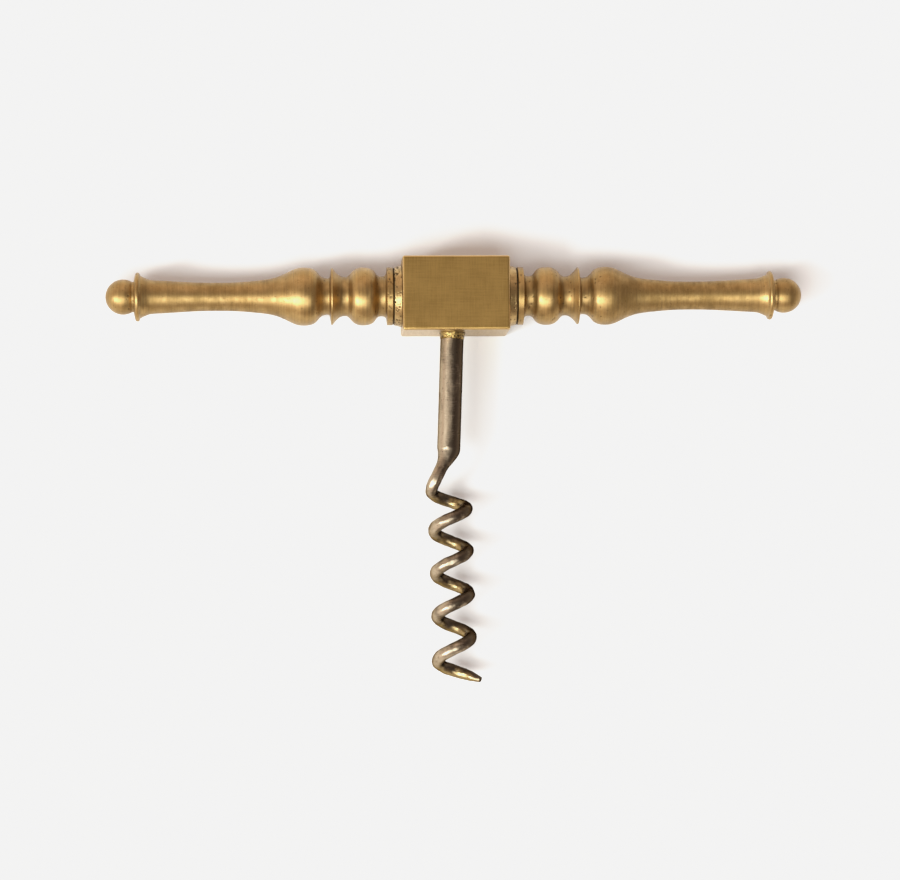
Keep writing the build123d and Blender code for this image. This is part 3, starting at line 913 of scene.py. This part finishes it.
def stud_steel(shader):
    """Plain machined steel with a trace of oil in the thread."""
    clean, oily = (0.55, 0.55, 0.56), (0.3, 0.28, 0.25)
    mottle = shader.noise((1.2, 1.2, 1.2), detail=4)
    colour = shader.mix(shader.remap(mottle, 0.4, 0.7), clean, oily)
    return {"Base Color": colour, "Roughness": shader.remap(mottle, 0.3, 0.7, 0.22, 0.38)}


def braze_brass(shader):
    """Brazing brass as it froze: bright and lumpy, with dark flux in its hollows."""
    bright, aged, flux = (0.4, 0.27, 0.09), (0.2, 0.13, 0.045), (0.03, 0.02, 0.01)
    mottle = shader.noise((1.4, 1.4, 1.4), detail=4)
    flecks = shader.noise((3.2, 3.2, 3.2), detail=2)
    colour = shader.mix(shader.remap(mottle, 0.35, 0.7), bright, aged)
    colour = shader.mix(shader.remap(flecks, 0.46, 0.6, 0.0, 0.85), colour, flux)
    return {
        "Base Color": colour,
        "Roughness": shader.remap(mottle, 0.3, 0.7, 0.34, 0.48),
        "Normal": shader.bump(flecks, 0.05 * MM),
    }


def floor_paper():
    """Plain pale card, with a barely visible tooth."""
    material = bpy.data.materials.new("floor_paper")
    material.use_nodes = True
    shader = Shader(material.node_tree)
    tooth = shader.noise((0.8, 0.8, 0.8))
    lighter = tuple(value * TOOTH_CONTRAST for value in FLOOR_TONE)
    colour = shader.mix(tooth, FLOOR_TONE, lighter)
    surface = shader.add("ShaderNodeBsdfDiffuse", {"Color": colour})
    shader.add("ShaderNodeOutputMaterial", {"Surface": surface.outputs[0]})
    return material


# ---------------------------------------------------------------- stage


def add_floor():
    mesh = bpy.data.meshes.new("floor")
    work = bmesh.new()
    bmesh.ops.create_grid(work, x_segments=8, y_segments=8, size=FLOOR_SIZE / 2)
    work.to_mesh(mesh)
    work.free()
    floor = placed("floor", mesh)
    floor.location.z = cad_box[0][2]
    mesh.materials.append(floor_paper())


def add_sun():
    light = bpy.data.lights.new("window", "SUN")
    light.energy = SUN_STRENGTH
    light.angle = SUN_WIDTH
    light.color = SUN_COLOUR
    placed("window", light).rotation_euler = SUN_FROM.to_track_quat("Z", "Y").to_euler()


def add_softbox():
    """A long soft light overhead, along the handle, on the near left."""
    light = bpy.data.lights.new("softbox", "AREA")
    light.shape = "RECTANGLE"
    light.size, light.size_y = BOX_SIZE
    light.energy = BOX_POWER
    light.color = SUN_COLOUR
    placed("softbox", light).location = BOX_AT


def add_sky():
    """A plain studio room: darker overhead, brighter low down and on the left, with a few soft glows."""
    world = bpy.data.worlds.new("studio")
    bpy.context.scene.world = world
    world.use_nodes = True
    shader = Shader(world.node_tree)
    direction = shader.add("ShaderNodeTexCoord").outputs["Generated"]
    parts = shader.add("ShaderNodeSeparateXYZ", {0: direction}).outputs
    low = shader.math("SUBTRACT", 1.0, shader.math("MAXIMUM", parts["Z"], 0.0))
    base = shader.remap(shader.math("POWER", low, SKY_POWER), 0.0, 1.0, SKY_ZENITH, SKY_HORIZON)
    west = shader.math("MULTIPLY", parts["X"], -SKY_WEST)
    radiance = shader.math("MAXIMUM", shader.math("ADD", base, west), SKY_LEAST)
    for towards, tightness, strength in GLOWS:
        product_node = shader.add("ShaderNodeVectorMath", {0: direction, 1: towards}, operation="DOT_PRODUCT")
        facing = product_node.outputs["Value"]
        glow = shader.math("POWER", shader.math("MAXIMUM", facing, 0.0), tightness)
        radiance = shader.math("ADD", radiance, shader.math("MULTIPLY", glow, strength))
    background = shader.add("ShaderNodeBackground", {"Color": SKY_COLOUR, "Strength": radiance})
    shader.add("ShaderNodeOutputWorld", {"Surface": background.outputs[0]})


def add_camera():
    lens = bpy.data.cameras.new("camera")
    lens.lens, lens.sensor_width, lens.sensor_fit = LENS, SENSOR, "HORIZONTAL"
    lens.clip_start, lens.clip_end = 0.01, 100
    camera = placed("camera", lens)
    forward = (CAMERA_AIM - CAMERA_AT).normalized()
    right = forward.cross(Vector((0, 1, 0))).normalized()
    upright = Matrix((right, right.cross(forward), -forward)).transposed()
    camera.location = CAMERA_AT
    camera.rotation_euler = (upright @ Matrix.Rotation(CAMERA_ROLL, 3, "Z")).to_euler()
    bpy.context.scene.camera = camera


def set_exposure():
    """A plain display with a gentle shoulder, so that the brightest paper settles at one pale tone."""
    view = bpy.context.scene.view_settings
    view.view_transform = "Standard"
    view.use_curve_mapping = True
    curve = view.curve_mapping
    curve.extend = "HORIZONTAL"
    blue, tone = curve.curves[2:4]
    tone.points[0].location = (0.0, 0.0)
    tone.points[1].location = (1.0, PAPER_WHITE)
    for x, y in SHOULDER:
        tone.points.new(x, y)
    blue.points[1].location = (1.0, PAPER_WARMTH)
    curve.update()


# ---------------------------------------------------------------- the corkscrew


def show(piece, body, node, slot, material):
    """Puts a piece in the model: it moves with the body and stands for the CAD node."""
    piece.data.materials.clear()
    piece.data.materials.append(material)
    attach(piece, body)
    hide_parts(node)


def build():
    slots = {
        "block_brass": block_brass,
        "ring_brass": ring_brass,
        "turned_brass": turned_brass,
        "stud_steel": stud_steel,
        "worm_steel": worm_steel,
        "braze": braze_brass,
    }
    materials = {slot: metal(slot, recipe) for slot, recipe in slots.items()}
    pieces = [
        (block_piece(), "centre", "centre_block", "block_brass"),
        (worm_piece(), "centre", "worm", "worm_steel"),
        (braze_piece(), "centre", "braze_fillet", "braze"),
    ]
    for name, side in SIDES.items():
        pieces += [
            (ring_piece(name, side), f"{name}_seat", f"{name}_seat_ring", "ring_brass"),
            (arm_piece(name, side), f"{name}_handle", f"{name}_arm", "turned_brass"),
            (ball_piece(name, side), f"{name}_handle", f"{name}_end_ball", "turned_brass"),
            (stud_piece(name, side), f"{name}_handle", f"{name}_stud", "stud_steel"),
        ]
    for piece, body, node, slot in pieces:
        show(piece, body, node, slot, materials[slot])


build()
add_floor()
add_sun()
add_softbox()
add_sky()
add_camera()
set_exposure()
